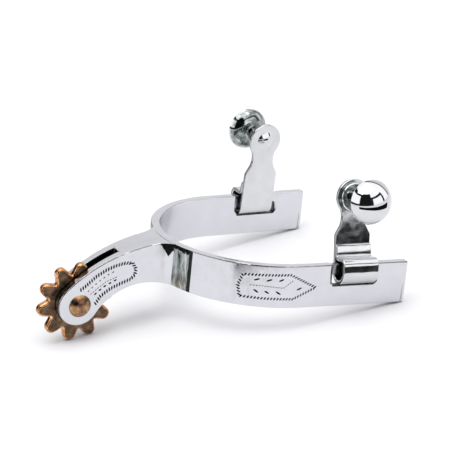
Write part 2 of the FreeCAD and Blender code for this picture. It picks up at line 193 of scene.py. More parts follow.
def round_edges(mesh, radius, steps=3, sharper_than=35, wanted=lambda edge: True, slot=None):
    """Round every edge that turns by more than an angle, and give the new faces a material slot."""
    limit = math.radians(sharper_than)
    edges = [edge for edge in mesh.edges
             if len(edge.link_faces) == 2 and edge.calc_face_angle() > limit and wanted(edge)]
    made = bmesh.ops.bevel(mesh, geom=edges, offset=radius, offset_type="OFFSET", segments=steps,
                           profile=0.5, affect="EDGES", clamp_overlap=False)
    if slot is not None:
        for face in made["faces"]:
            face.material_index = slot
    return mesh


def lathe(profile, turns=112):
    """Turn a path of (radius, height) points about the Y axis. Ends at radius zero are closed."""
    mesh = bmesh.new()
    rings = []
    for radius, height in profile:
        if radius < TINY:
            rings.append([mesh.verts.new((0, height, 0))])
            continue
        rings.append([mesh.verts.new((radius * math.cos(a), height, radius * math.sin(a)))
                      for a in (2 * math.pi * turn / turns for turn in range(turns))])
    for low, high in zip(rings, rings[1:]):
        for turn in range(turns):
            following = (turn + 1) % turns
            ring = [low[turn % len(low)], low[following % len(low)],
                    high[following % len(high)], high[turn % len(high)]]
            mesh.faces.new(list(dict.fromkeys(ring)))
    bmesh.ops.remove_doubles(mesh, verts=mesh.verts, dist=TINY)
    bmesh.ops.recalc_face_normals(mesh, faces=mesh.faces)
    return mesh


def linked(name, data):
    """An object of the scene, made from its data."""
    made = bpy.data.objects.new(name, data)
    scene.collection.objects.link(made)
    return made


def finished(name, mesh, materials):
    """An object of the scene, made from a mesh and the materials of its slots."""
    data = bpy.data.meshes.new(name)
    mesh.to_mesh(data)
    mesh.free()
    for material in materials:
        data.materials.append(material)
    return linked(name, data)


def piece(name, mesh, place, body, materials, nodes):
    """Put a mesh into the row frame as a piece that rides on a body and replaces CAD nodes."""
    mesh.transform(Matrix.Scale(MM, 4) @ place)
    made = finished(name, mesh, materials)
    even_shading(made)
    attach(made, body)
    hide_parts(*nodes)
    return made


def even_shading(made):
    """Smooth shading that keeps flat faces flat and sharp edges crisp."""
    for face in made.data.polygons:
        face.use_smooth = True
    made.data.set_sharp_from_angle(angle=math.radians(SHARP_ANGLE))
    weighted = made.modifiers.new("even_shading", "WEIGHTED_NORMAL")
    weighted.keep_sharp = True
    weighted.weight = 60


def dome(radius, height, base, steps=14):
    """Path points from the rim of a round dome to its top, at (radius, base) and (0, base + height)."""
    ball = (radius * radius + height * height) / (2 * height)
    widest = math.asin(radius / ball)
    centre = base + height - ball
    return [(ball * math.sin(widest * (1 - step / steps)),
             centre + ball * math.cos(widest * (1 - step / steps))) for step in range(steps + 1)]


# ---- materials
def new_material(name, metallic=1.0):
    """A plain material, with its node tree, its shader and its object coordinates."""
    material = bpy.data.materials.new(name)
    material.use_nodes = True
    tree = material.node_tree
    shader = tree.nodes["Principled BSDF"]
    shader.inputs["Metallic"].default_value = metallic
    where = tree.nodes.new("ShaderNodeTexCoord").outputs["Object"]
    return material, tree, shader, where


def remap(tree, value, numbers, kind="LINEAR"):
    """A value taken from one range to another, given as the four ends."""
    made = tree.nodes.new("ShaderNodeMapRange")
    made.interpolation_type = kind
    for name, number in zip(("From Min", "From Max", "To Min", "To Max"), numbers):
        made.inputs[name].default_value = number
    tree.links.new(value, made.inputs["Value"])
    return made.outputs["Result"]


def smooth_step(tree, value, low, high):
    """Zero at low and one at high, whichever is the greater, with a soft rise between."""
    return remap(tree, value, (low, high, 0, 1), "SMOOTHSTEP")


def spread(tree, value, low, high):
    """Map a pattern's middle range onto low to high."""
    return remap(tree, value, (0.3, 0.7, low, high))


def calculate(tree, operation, *values):
    """One Math node, fed with numbers or other nodes' outputs."""
    made = tree.nodes.new("ShaderNodeMath")
    made.operation = operation
    for number, value in enumerate(values):
        if isinstance(value, (int, float)):
            made.inputs[number].default_value = value
        else:
            tree.links.new(value, made.inputs[number])
    return made.outputs["Value"]


def noise(tree, where, scale, detail=3.0, rough=0.55, stretch=None):
    """A noise pattern, with its scale in cells per metre, stretched along an axis if asked."""
    if stretch:
        mapping = tree.nodes.new("ShaderNodeMapping")
        mapping.inputs["Scale"].default_value = stretch
        tree.links.new(where, mapping.inputs["Vector"])
        where = mapping.outputs["Vector"]
    pattern = tree.nodes.new("ShaderNodeTexNoise")
    pattern.inputs["Scale"].default_value = scale
    pattern.inputs["Detail"].default_value = detail
    pattern.inputs["Roughness"].default_value = rough
    tree.links.new(where, pattern.inputs["Vector"])
    return pattern.outputs["Fac"]


def ramp(tree, value, stops):
    """Colours along a value: stops are (position, (red, green, blue))."""
    made = tree.nodes.new("ShaderNodeValToRGB")
    band = made.color_ramp
    while len(band.elements) < len(stops):
        band.elements.new(0.5)
    for element, (position, colour) in zip(band.elements, stops):
        element.position = position
        element.color = (*colour, 1)
    tree.links.new(value, made.inputs["Fac"])
    return made.outputs["Color"]


def bump(tree, shader, heights):
    """Stack bumps, each a (pattern, depth in metres), on one another."""
    last = None
    for pattern, depth in heights:
        made = tree.nodes.new("ShaderNodeBump")
        made.inputs["Distance"].default_value = depth
        tree.links.new(pattern, made.inputs["Height"])
        if last:
            tree.links.new(last, made.inputs["Normal"])
        last = made.outputs["Normal"]
    tree.links.new(last, shader.inputs["Normal"])


def multiply(tree, first, second, share=None):
    """Two colours multiplied. Where the share is below one, part of the first colour stays."""
    made = tree.nodes.new("ShaderNodeMix")
    made.data_type = "RGBA"
    made.blend_type = "MULTIPLY"
    if share is None:
        made.inputs["Factor"].default_value = 1
    else:
        tree.links.new(share, made.inputs["Factor"])
    tree.links.new(first, made.inputs["A"])
    tree.links.new(second, made.inputs["B"])
    return made.outputs["Result"]


def painted_crevice_shade(tree, reach, dark):
    """Painted shade in narrow joints and crevices: dark where other metal lies within reach, in metres."""
    made = tree.nodes.new("ShaderNodeAmbientOcclusion")
    made.samples = 8
    made.inputs["Distance"].default_value = reach
    return ramp(tree, made.outputs["AO"], [(0.12, (dark,) * 3), (0.62, (1.0,) * 3)])


def chrome(name, tint, rough, wave, grain, cloud=0.04):
    """Chrome plate: slow waves from the polishing wheel, fine pits, faint dull clouds and painted shade in
    crevices. Wave and grain are depths in metres, and cloud is how far the tint strays."""
    material, tree, shader, where = new_material(name)
    clouds = noise(tree, where, 170, 4)
    plate = ramp(tree, clouds, [
        (0.25, tuple(c * (1 - cloud) for c in tint)),
        (0.5, tint),
        (0.78, tuple(min(c * (1 + cloud), 1) for c in tint)),
    ])
    # painted shade: the plate's colour is darkened where other metal lies close
    tree.links.new(multiply(tree, plate, painted_crevice_shade(tree, 0.0014, 0.03)), shader.inputs["Base Color"])
    wear = spread(tree, noise(tree, where, 420, 3), rough * 0.7, rough * 1.35)
    tree.links.new(wear, shader.inputs["Roughness"])
    bump(tree, shader, [
        (noise(tree, where, 95, 2), wave),
        (noise(tree, where, 2600, 2), grain),
    ])
    return material


def patchy(name, stops, rough, grain):
    """Patchy metal, such as antique bronze: a dark skin worn through to bright metal."""
    material, tree, shader, where = new_material(name)
    patches = noise(tree, where, 330, 5, 0.62)
    skin = ramp(tree, patches, stops)
    # painted shade: the skin's colour is darkened where other metal lies close
    tree.links.new(multiply(tree, skin, painted_crevice_shade(tree, 0.0028, 0.02)), shader.inputs["Base Color"])
    wear = spread(tree, noise(tree, where, 700, 3), rough * 0.7, rough * 1.4)
    tree.links.new(wear, shader.inputs["Roughness"])
    bump(tree, shader, [
        (noise(tree, where, 260, 2), grain * 3),
        (noise(tree, where, 1500, 3), grain),
    ])
    return material


def beyond(tree, where, point, towards, soft, ragged):
    """One past a plane through a point of the band frame, zero before it. The border is soft and
    ragged by the lengths given, in millimetres."""
    normal = (band_frame.to_3x3() @ Vector(towards)).normalized()
    start = normal.dot(band_frame @ Vector(point)) * MM
    facing = tree.nodes.new("ShaderNodeVectorMath")
    facing.operation = "DOT_PRODUCT"
    facing.inputs[1].default_value = normal
    tree.links.new(where, facing.inputs[0])
    wobble = calculate(tree, "SUBTRACT", noise(tree, where, 900, 2), 0.5)
    value = calculate(tree, "MULTIPLY_ADD", wobble, ragged * MM, facing.outputs["Value"])
    return smooth_step(tree, value, start - soft * MM, start + soft * MM)


def plate_with_painted_reflection(name, plated, borders):
    """A plated material painted black as a dark reflection, beyond every border given as (point,
    direction).
    """
    material = plated.copy()
    material.name = name
    tree = material.node_tree
    shader = tree.nodes["Principled BSDF"]
    where = tree.nodes.new("ShaderNodeTexCoord").outputs["Object"]
    plate = shader.inputs["Base Color"].links[0].from_socket
    mask = None
    for point, towards in borders:
        side = beyond(tree, where, point, towards, soft=0.12, ragged=0.7)
        mask = calculate(tree, "MULTIPLY", mask, side) if mask else side
    flecks = noise(tree, where, 800)
    painted_black = ramp(tree, flecks, [(0.3, (0.005,) * 3), (0.7, (0.02,) * 3)])
    tree.links.new(multiply(tree, plate, painted_black, mask), shader.inputs["Base Color"])
    return material


def brazed_and_shaded(name, tint):
    """The brazed joint beside the shank: streaky grey-green flux stain, darkened also as painted shade,
    and painted black along its top as a dark reflection.
    """
    material, tree, shader, where = new_material(name)
    streaks = noise(tree, where, 420, 4, 0.6, (1.0, 1.0, 0.28))
    stain = ramp(tree, streaks, [
        (0.32, (0.03, 0.036, 0.032)), (0.4, tuple(c * 0.6 for c in tint)), (0.5, tint),
        (0.64, (0.74, 0.76, 0.75)),
    ])
    # painted dark reflection along the joint's top
    top = beyond(tree, where, (0, 0, 14.2), (0, 0, 1), soft=0.25, ragged=3.0)
    painted_black = ramp(tree, streaks, [(0.3, (0.01,) * 3), (0.7, (0.04,) * 3)])
    tree.links.new(multiply(tree, stain, painted_black, top), shader.inputs["Base Color"])
    tree.links.new(spread(tree, streaks, 0.3, 0.12), shader.inputs["Roughness"])
    bump(tree, shader, [(streaks, 0.0003), (noise(tree, where, 1500, 3), 0.00003)])
    return material


band_steel = chrome("band_chrome", (0.649, 0.651, 0.681), rough=0.16, wave=0.00006, grain=0.000004)
hanger_steel = chrome("hanger_chrome", (0.64, 0.645, 0.655), rough=0.12, wave=0.0002, grain=0.000008,
                      cloud=0.07)
button_steel = chrome("button_chrome", (0.66, 0.665, 0.68), rough=0.035, wave=0.00003, grain=0.000001)
# painted shade: the engraved grooves are coloured near-black
groove_shade_steel = chrome("engraved_hollow", (0.02, 0.02, 0.022), rough=0.5, wave=0.00002, grain=0.00001,
                      cloud=0.3)
edge_steel = chrome("sheared_edge", (0.20, 0.205, 0.21), rough=0.22, wave=0.00006, grain=0.00001,
                    cloud=0.35)
# painted shade: near-black plate for the window walls, the rowel slot's walls and the far edge of the
# brazed joint
painted_shade_steel = chrome("painted_joint_shade", (0.025, 0.027, 0.026), rough=0.3, wave=0.0002, grain=0.00001, cloud=0.5)
# partly flux stain and partly painted shade
weld_and_shade_steel = brazed_and_shaded("brazed_joint_and_shade", (0.47, 0.52, 0.49))
# painted dark reflection: a black corner at the top of the shank's flare
flare_dark_reflection = plate_with_painted_reflection("flare_painted_reflection", band_steel, [
    ((-6.3, 0, 15.4), (1, 0, 0.62)),
    ((-2.1, 0, 13.4), (-1, 0, 0.52)),
])
rowel_face = patchy("rowel_bronze", [
    (0.32, (0.045, 0.028, 0.019)), (0.5, (0.13, 0.083, 0.052)), (0.72, (0.33, 0.20, 0.11)),
], rough=0.32, grain=0.00002)
rowel_edge = patchy("rowel_worn_edge", [
    (0.34, (0.14, 0.05, 0.02)), (0.47, (0.56, 0.24, 0.09)), (0.66, (0.98, 0.61, 0.31)),
], rough=0.15, grain=0.00001)
pin_bronze = patchy("rivet_bronze", [
    (0.3, (0.09, 0.048, 0.028)), (0.5, (0.27, 0.145, 0.08)), (0.7, (0.62, 0.38, 0.20)),
], rough=0.26, grain=0.00003)
neck_steel = patchy("neck_dull_chrome", [
    (0.30, (0.03, 0.034, 0.032)), (0.46, (0.22, 0.245, 0.235)), (0.68, (0.56, 0.59, 0.58)),
], rough=0.06, grain=0.000004)
# painted dark reflection: dashes of black along the upper bevels of the arms and the shank's cheek
rim_dark_reflection = patchy("rim_shadow", [
    (0.5, (0.012, 0.012, 0.014)), (0.56, (0.20, 0.20, 0.21)), (0.66, (0.66, 0.66, 0.67)),
], rough=0.15, grain=0.000004)

# Material slots: of the band and the shank, and the second slot of the rowel, hangers and buttons.
PLATE, SHADED_JOINT, PAINTED_RIM, PAINTED_SHADE = range(4)
WORN_EDGE = SHEARED_EDGE = DULL_NECK = 1


# ---- heel band
TANGENT_X = HEEL_RADIUS * (1 - math.sin(TOE))
TANGENT_Y = HEEL_RADIUS * math.cos(TOE)
RELIEF_REACH = math.sqrt(RELIEF_ROUND ** 2 - (RELIEF_ROUND - RELIEF_DEPTH) ** 2)
ARC_STEPS, CORNER_STEPS = 76, 5
FIRST_COLUMN = 41.0  # where the cell that joins the arc to the arm ends
EDGE_ROUND, CORNER_ANGLE = 0.42, 60
JOINT_START, JOINT_END, JOINT_SHADE_BORDER = 14.6, 26.8, 2.6  # degrees round the heel from its apex
WALL_REACH = 0.35  # how far past the window's walls the painted shade goes


def arm_point(side, along, outwards):
    """A point on an arm: a distance in X from the heel's apex, and one outwards from its inner face."""
    run = (along - TANGENT_X) / math.cos(TOE)
    return Vector((along - outwards * math.sin(TOE),
                   side * (TANGENT_Y + run * math.sin(TOE) + outwards * math.cos(TOE))))


def relief(along, height):
    """How far the rail's faces are hollowed at a place on an arm."""
    past = max(WINDOW_START - along, along - WINDOW_END, 0)
    if height < RELIEF_BOTTOM or past >= RELIEF_REACH:
        return 0.0
    return math.sqrt(RELIEF_ROUND ** 2 - past ** 2) - (RELIEF_ROUND - RELIEF_DEPTH)


def band_place(key, layer):
    """A corner of the band. Layer 0 is the outer face, and layer 1 the inner one. Near the window
    each key keeps its X through the band, so that the window's walls run along Y."""
    kind, side, where, height = key
    if kind == "arc":
        radius = HEEL_RADIUS + (BAND_THICK if layer == 0 else 0)
        return (HEEL_RADIUS - radius * math.cos(where), radius * math.sin(where), height)
    hollow = relief(where, height)
    outwards = BAND_THICK - hollow if layer == 0 else hollow
    upright = outwards * math.sin(TOE) if WINDOW_START - 2 < where < WINDOW_END + 2 else 0
    point = arm_point(side, where + upright, outwards)
    return (point.x, point.y, height)


def arm_cells(side):
    """The cells of one arm, round its window. The relief's ends have their own columns."""
    ends = [RELIEF_REACH * share for share in (1, 0.66, 0.33)]
    columns = [TANGENT_X, FIRST_COLUMN] + [WINDOW_START - past for past in ends]
    columns += [WINDOW_START, WINDOW_START + WINDOW_CORNER, WINDOW_END - WINDOW_CORNER, WINDOW_END]
    columns += [WINDOW_END + past for past in reversed(ends)] + [ARM_END - ARM_CORNER, ARM_END]
    rows = [0.0, WINDOW_BOTTOM, WINDOW_BOTTOM + WINDOW_CORNER, RELIEF_BOTTOM,
            WINDOW_TOP - WINDOW_CORNER, WINDOW_TOP, BAND_HEIGHT]
    cells = []
    arc_end = side * (math.pi / 2 - TOE)
    for left, right in zip(columns, columns[1:]):
        if left == TANGENT_X:
            cells.append([("arc", 0, arc_end, 0.0)] + [(right, row) for row in rows]
                         + [("arc", 0, arc_end, BAND_HEIGHT)])
            continue
        for low, high in zip(rows, rows[1:]):
            in_columns = WINDOW_START <= left and right <= WINDOW_END
            if in_columns and WINDOW_BOTTOM <= low and high <= WINDOW_TOP:
                cells += window_corner(left, right, low, high)
            elif right == ARM_END and low == 0:
                round_end = arc((left, 0), (right, ARM_CORNER), ARM_CORNER, CORNER_STEPS)
                cells.append([(p.x, p.y) for p in round_end]
                             + [(right, ARM_CORNER), (right, high), (left, high)])
            else:
                cells.append([(left, low), (right, low), (right, high), (left, high)])
    named = [[key if key[0] == "arc" else ("arm", side, *key) for key in cell] for cell in cells]
    return [list(reversed(cell)) if side < 0 else cell for cell in named]


def window_corner(left, right, low, high):
    """What is left of a cell in a corner of the window: the metal outside the corner's arc."""
    at_left, at_right = left == WINDOW_START, right == WINDOW_END
    at_low, at_high = low == WINDOW_BOTTOM, high == WINDOW_TOP
    if not ((at_left or at_right) and (at_low or at_high)):
        return []
    x, z = (left if at_left else right), (low if at_low else high)
    across = WINDOW_CORNER if at_left else -WINDOW_CORNER
    up = WINDOW_CORNER if at_low else -WINDOW_CORNER
    turn = 1 if (across > 0) == (up > 0) else -1
    curve = arc((x, z + up), (x + across, z), turn * WINDOW_CORNER, CORNER_STEPS)
    curve.append(Vector((x + across, z)))
    cell = [(x, z)] + [(p.x, p.y) for p in reversed(curve)]
    cell[1], cell[-1] = (x + across, z), (x, z + up)
    return [cell if turn > 0 else list(reversed(cell))]


def band_slot(face):
    """The material slot of a face of the band."""
    middle = face.calc_center_median()
    from_heel = Vector((min(middle.x, HEEL_RADIUS) - HEEL_RADIUS, middle.y))
    angle = abs(math.degrees(math.atan2(from_heel.y, -from_heel.x)))
    # Beside the shank: the brazed joint, partly painted shade, with its far edge painted black as a dark
    # reflection.
    if from_heel.length > HEEL_RADIUS + BAND_THICK - 0.2 and JOINT_START < angle < JOINT_END:
        return PAINTED_SHADE if angle > JOINT_END - JOINT_SHADE_BORDER else SHADED_JOINT
    facing_out = face.normal.xy.dot(from_heel) > 0.3 * from_heel.length
    # Upper bevels facing out get dashes of painted dark reflection.
    if angle > JOINT_END and face.normal.z > 0.3 and facing_out:
        return PAINTED_RIM
    # The window's walls are painted in shade.
    in_window = (WINDOW_START - WALL_REACH < middle.x < WINDOW_END + WALL_REACH
                 and WINDOW_BOTTOM - WALL_REACH < middle.z < WINDOW_TOP + WALL_REACH)
    return PAINTED_SHADE if in_window and abs(face.normal.y) < 0.93 else PLATE


def band_mesh():
    """The heel band: an arc between two arms, each with a window."""
    cells = arm_cells(-1) + arm_cells(1)
    widest = math.pi / 2 - TOE
    angles = [-widest + 2 * widest * step / ARC_STEPS for step in range(ARC_STEPS)] + [widest]
    for start, end in zip(angles, angles[1:]):
        cells.append([("arc", 0, start, 0.0), ("arc", 0, end, 0.0),
                      ("arc", 0, end, BAND_HEIGHT), ("arc", 0, start, BAND_HEIGHT)])
    mesh = stack([(cell, False) for cell in cells], band_place, 2)
    round_edges(mesh, EDGE_ROUND, sharper_than=CORNER_ANGLE)
    for face in mesh.faces:
        face.material_index = band_slot(face)
    return mesh


# ---- shank
UNDER_RADIUS = (((FORK_BACK - UNDER_START) ** 2 + (UNDER_HEIGHT + FORK_DROP) ** 2 - FORK_ROUND ** 2)
                / (2 * (FORK_ROUND + UNDER_HEIGHT + FORK_DROP)))
ROOT_STOP = -1.2  # the shank ends inside the band
PAST_FORK = -60.0
FLARE_STEPS = 9
SHANK_EDGE_ROUND = 0.4


def shank_half(x):
    """Half the shank's thickness at a place along it."""
    if x <= -FORK_START:
        return FORK_HALF
    if x <= -ROOT_START:
        share = (x + FORK_START) / (FORK_START - ROOT_START)
        return FORK_HALF + (ROOT_HALF - FORK_HALF) * share
    return ROOT_HALF + ROOT_FLARE - math.sqrt(max(ROOT_FLARE ** 2 - (x + ROOT_START) ** 2, 0))


def shank_outline():
    """The shank's side view, as points from its root along the top, round the fork and back below."""
    span = UNDER_RADIUS + FORK_ROUND
    meet = (-FORK_BACK + FORK_ROUND * (FORK_BACK - UNDER_START) / span,
            -FORK_DROP - FORK_ROUND * (UNDER_RADIUS - UNDER_HEIGHT - FORK_DROP) / span)
    top = math.radians(FORK_TOP_ANGLE)
    return outline([
        (0, BAND_HEIGHT, SHANK_TOP_RADIUS, 48),
        (-FORK_BACK + FORK_ROUND * math.cos(top), -FORK_DROP + FORK_ROUND * math.sin(top), FORK_ROUND, 20),
        (-FORK_BACK, -FORK_DROP - FORK_ROUND, FORK_ROUND, 12),
        (*meet, -UNDER_RADIUS, 40),
        (-UNDER_START, UNDER_HEIGHT),
        (0, 0),
    ])


def shank_slot(face):
    """The material slot of a face of the shank."""
    middle = face.calc_center_median()
    # The walls of the rowel slot are painted in shade.
    if face.normal.y * middle.y < -0.5 * abs(middle.y):
        return PAINTED_SHADE
    if abs(face.normal.y) > 0.3:
        # The flare takes the plate with a painted dark reflection at its top.
        if middle.x > -ROOT_START:
            return SHADED_JOINT
        # The cheek's upper bevels get dashes of painted dark reflection.
        if face.normal.z - face.normal.x > 0.42:
            return PAINTED_RIM
    return PLATE


def shank_mesh():
    """The shank, with a slot for the rowel and a flare where it is brazed to the band."""
    path = shank_outline()
    flare = [-ROOT_START + (ROOT_STOP + ROOT_START) * step / FLARE_STEPS for step in range(1, FLARE_STEPS)]
    cuts = [PAST_FORK, -FORK_START, -SLOT_END, -ROOT_START] + flare + [ROOT_STOP]
    cells = [(clip(path, left, right), right <= -SLOT_END) for left, right in zip(cuts, cuts[1:])]
    sides = (-1, -1, 1, 1)

    def place(key, layer):
        half = SLOT_HALF if layer in (1, 2) else shank_half(key[0])
        return (key[0], sides[layer] * half, key[1])

    def clear_of_root(edge):
        return min(v.co.x for v in edge.verts) < ROOT_STOP - 0.3

    mesh = stack(cells, place, 4, gap=1)
    round_edges(mesh, SHANK_EDGE_ROUND, wanted=clear_of_root)
    for face in mesh.faces:
        face.material_index = shank_slot(face)
    return mesh


def clip(path, left, right):
    """The part of a closed path between two upright lines, as a ring of (x, height) keys."""
    ring = []
    for a, b in zip(path, path[1:] + path[:1]):
        if left <= a.x <= right:
            ring.append((round(a.x, 5), round(a.y, 5)))
        cuts = sorted((x for x in (left, right) if (a.x - x) * (b.x - x) < 0), key=lambda x: abs(x - a.x))
        for x in cuts:
            height = a.y + (b.y - a.y) * (x - a.x) / (b.x - a.x)
            ring.append((round(x, 5), round(height, 5)))
    return list(dict.fromkeys(ring))


# ---- engraving
STROKE_SIDES, STROKE_REACH, STROKE_SPREAD, STROKE_ABOVE = 8, 0.58, 0.62, 0.12


def tick(start, end, width, depth, to_surface):
    """A groove cut by one stroke of a graver, from start to end on a face: an oval above the face
    that narrows to a line at its depth. to_surface turns a place and a height into a point."""
    start, end = Vector(start), Vector(end)
    along = end - start
    across = Vector((-along.y, along.x)).normalized()
    middle = (start + end) / 2
    points = []
    for turn in range(STROKE_SIDES):
        angle = 2 * math.pi * turn / STROKE_SIDES
        spot = (middle + along * STROKE_REACH * math.cos(angle)
                + across * width * STROKE_SPREAD * math.sin(angle))
        points.append(to_surface(spot, STROKE_ABOVE))
    for share in (0.3, 0.7):
        points.append(to_surface(start.lerp(end, share), -depth))
    return points


def border(corners, spacing, length, slant, closed=True):
    """Short strokes along a line of corners, spaced evenly and slanted by an angle in degrees."""
    ring = [Vector(c) for c in corners]
    if closed:
        ring.append(ring[0])
    total = sum((b - a).length for a, b in zip(ring, ring[1:]))
    count = round(total / spacing)
    step = total / count
    strokes = []
    reach, covered = step / 2, 0.0
    for a, b in zip(ring, ring[1:]):
        run = (b - a).length
        direction = (b - a).normalized()
        lean = Matrix.Rotation(math.radians(slant), 2) @ direction * length / 2
        while reach <= covered + run:
            spot = a + direction * (reach - covered)
            strokes.append((spot - lean, spot + lean))
            reach += step
        covered += run
    return strokes


ARM_BORDER = [(13.9, 3.6), (22.3, 3.5), (32.0, 3.5), (40.6, 7.6), (30.6, 12.7), (22.1, 12.4), (14.5, 12.0),
              (13.3, 7.8)]
ARM_DASHES = [((17.9, 10.1), (19.9, 10.9)), ((22.0, 10.1), (24.1, 10.9)), ((26.3, 10.2), (28.2, 11.1)),
              ((18.1, 6.7), (19.8, 5.5)), ((21.7, 6.4), (23.4, 5.4)), ((25.5, 6.4), (27.5, 5.2)),
              ((33.1, 6.9), (35.2, 7.8))]
ARM_LINE = [(16.7, 8.2), (20.4, 8.3), (24.4, 8.0), (28.2, 7.7), (30.4, 9.6), (31.6, 10.6)]
SHANK_BORDER = [(-35.7, -1.6), (-33.3, 0.2), (-29.75, 3.4), (-26.2, 5.7), (-22.5, 7.3), (-18.8, 8.2),
                (-16.2, 8.0), (-14.8, 6.0), (-14.9, 3.6), (-16.5, 1.9), (-20.2, 0.4), (-24.0, -1.4),
                (-27.6, -4.2), (-29.5, -7.4)]
SHANK_LOWER = [(-30.3, -3.9), (-28.3, -2.0), (-26.1, -0.3), (-23.6, 1.1), (-21.4, 2.2)]
SHANK_MIDDLE = [(-31.6, -3.4), (-28.6, -0.9), (-25.8, 1.3), (-21.6, 3.1)]
SHANK_UPPER = [(-33.0, -2.6), (-29.4, 0.8), (-25.2, 4.0), (-22.6, 5.3)]


def strokes_of(lines, width, depth):
    """Strokes as (start, end, width, depth)."""
    return [(start, end, width, depth) for start, end in lines]


def arm_strokes():
    """The pointed panel on an arm: a border, dashes and a bent line."""
    return (strokes_of(border(ARM_BORDER, 1.1, 1.35, 58), 0.64, 0.34)
            + strokes_of(ARM_DASHES, 0.72, 0.38)
            + strokes_of(border(ARM_LINE, 0.95, 0.85, 40, closed=False), 0.4, 0.2))


def shank_strokes():
    """The long panel on the shank: an open border round three rows."""
    return (strokes_of(border(SHANK_BORDER, 1.04, 1.75, 66, closed=False), 0.68, 0.36)
            + strokes_of(border(SHANK_LOWER, 2.05, 1.3, 0, closed=False), 0.72, 0.36)
            + strokes_of(border(SHANK_MIDDLE, 1.05, 1.0, 12, closed=False), 0.38, 0.2)
            + strokes_of(border(SHANK_UPPER, 2.0, 0.95, 4, closed=False), 0.5, 0.24))


def cutters(name, strokes, surfaces):
    """One object holding a small wedge for every stroke on every face."""
    data_points, data_faces = [], []
    for to_surface in surfaces:
        for start, end, width, depth in strokes:
            wedge = bmesh.new()
            for point in tick(start, end, width, depth, to_surface):
                wedge.verts.new(point)
            hull = bmesh.ops.convex_hull(wedge, input=wedge.verts)
            inside = [v for v in hull["geom_interior"] if isinstance(v, bmesh.types.BMVert)]
            bmesh.ops.delete(wedge, geom=inside, context="VERTS")
            bmesh.ops.recalc_face_normals(wedge, faces=wedge.faces)
            wedge.verts.index_update()
            base = len(data_points)
            data_points += [v.co.copy() for v in wedge.verts]
            data_faces += [[base + v.index for v in face.verts] for face in wedge.faces]
            wedge.free()
    data = bpy.data.meshes.new(name)
    data.from_pydata(data_points, [], data_faces)
    data.transform(Matrix.Scale(MM, 4) @ band_frame)
    data.materials.append(groove_shade_steel)
    return linked(name, data)


def engrave(made, cutter):
    """Cut the strokes into a piece, and keep the result as its mesh."""
    made.modifiers.clear()
    made.modifiers.new("flat_faces", "TRIANGULATE")
    cut = made.modifiers.new("engraving", "BOOLEAN")
    cut.operation = "DIFFERENCE"
    cut.solver = "EXACT"
    cut.use_self = True
    cut.material_mode = "TRANSFER"
    cut.object = cutter
    bpy.context.view_layer.update()
    done = bpy.data.meshes.new_from_object(made.evaluated_get(bpy.context.evaluated_depsgraph_get()))
    made.modifiers.clear()
    made.data = done
    bpy.data.objects.remove(cutter)
    even_shading(made)


def arm_face(side):
    """Places on the outer face of an arm, given as (X, height), and heights above it."""
    outer = HEEL_RADIUS + BAND_THICK

    def to_surface(spot, height):
        if spot.x < HEEL_RADIUS - outer * math.sin(TOE):
            angle = side * math.acos((HEEL_RADIUS - spot.x) / outer)
            reach = outer + height
            return Vector((HEEL_RADIUS - reach * math.cos(angle), reach * math.sin(angle), spot.y))
        along = spot.x + BAND_THICK * math.sin(TOE)
        point = arm_point(side, along, BAND_THICK + height)
        return Vector((point.x, point.y, spot.y))
    return to_surface


def shank_face(side):
    """Places on a side of the shank, given as (X, height), and heights above it."""
    def to_surface(spot, height):
        return Vector((spot.x, side * (shank_half(spot.x) + height), spot.y))
    return to_surface


# ---- rowel and rivet
GULLET_ROUND, ROWEL_EDGE_ROUND = 0.7, 0.62


def rowel_mesh():
    """A star wheel. Each point has straight flanks and a round tip, and each gullet is a V."""
    pitch = 2 * math.pi / ROWEL_POINTS
    tip = ROWEL_RADIUS - POINT_ROUND
    gullet = Vector((ROWEL_GULLET * math.cos(pitch / 2), ROWEL_GULLET * math.sin(pitch / 2)))
    to_tip = Vector((tip, 0)) - gullet
    lean = math.atan2(gullet.y, tip - gullet.x) - math.asin(POINT_ROUND / to_tip.length)
    touch = Vector((tip + POINT_ROUND * math.sin(lean), POINT_ROUND * math.cos(lean)))
    tip_arc = arc((touch.x, -touch.y), touch, POINT_ROUND, 12) + [touch]
    cells = []
    for point in range(ROWEL_POINTS):
        turn = Matrix.Rotation(pitch * point, 2)
        rim = [turn @ Vector((gullet.x, -gullet.y))] + [turn @ p for p in tip_arc] + [turn @ gullet]
        bore = [turn @ Vector((ROWEL_BORE * math.cos(a), ROWEL_BORE * math.sin(a)))
                for a in (pitch * (0.5 - share / 4) for share in range(5))]
        cells.append(([tuple(round(c, 3) for c in p) for p in rim + bore], False))

    def place(key, layer):
        return (key[0], (-0.5, 0.5)[layer] * ROWEL_THICK, key[1])

    def clear_of_bore(edge):
        return all(math.hypot(v.co.x, v.co.z) > ROWEL_BORE + 1 for v in edge.verts)

    mesh = stack(cells, place, 2)
    for face in mesh.faces:
        if abs(face.normal.y) < 0.5:
            face.material_index = WORN_EDGE
    gullets = [edge for edge in mesh.edges if len(edge.link_faces) == 2 and clear_of_bore(edge)
               and abs(edge.verts[0].co.y - edge.verts[1].co.y) > 1 and edge.calc_face_angle() > 0.6]
    bmesh.ops.bevel(mesh, geom=gullets, offset=GULLET_ROUND, segments=4, profile=0.5, affect="EDGES")
    return round_edges(mesh, ROWEL_EDGE_ROUND, 4, 50, clear_of_bore, slot=WORN_EDGE)


def rivet_profile():
    """The rowel pin: a round head on the right, a shaft and a flatter peened end on the left."""
    head = dome(PIN_HEAD_RADIUS, PIN_HEAD_HEIGHT, FORK_HALF)
    peen = dome(PIN_PEEN_RADIUS, PIN_PEEN_HEIGHT, FORK_HALF)
    near = [(radius, -height) for radius, height in reversed(head)]
    return near + [(PIN_RADIUS, -FORK_HALF), (PIN_RADIUS, FORK_HALF)] + peen


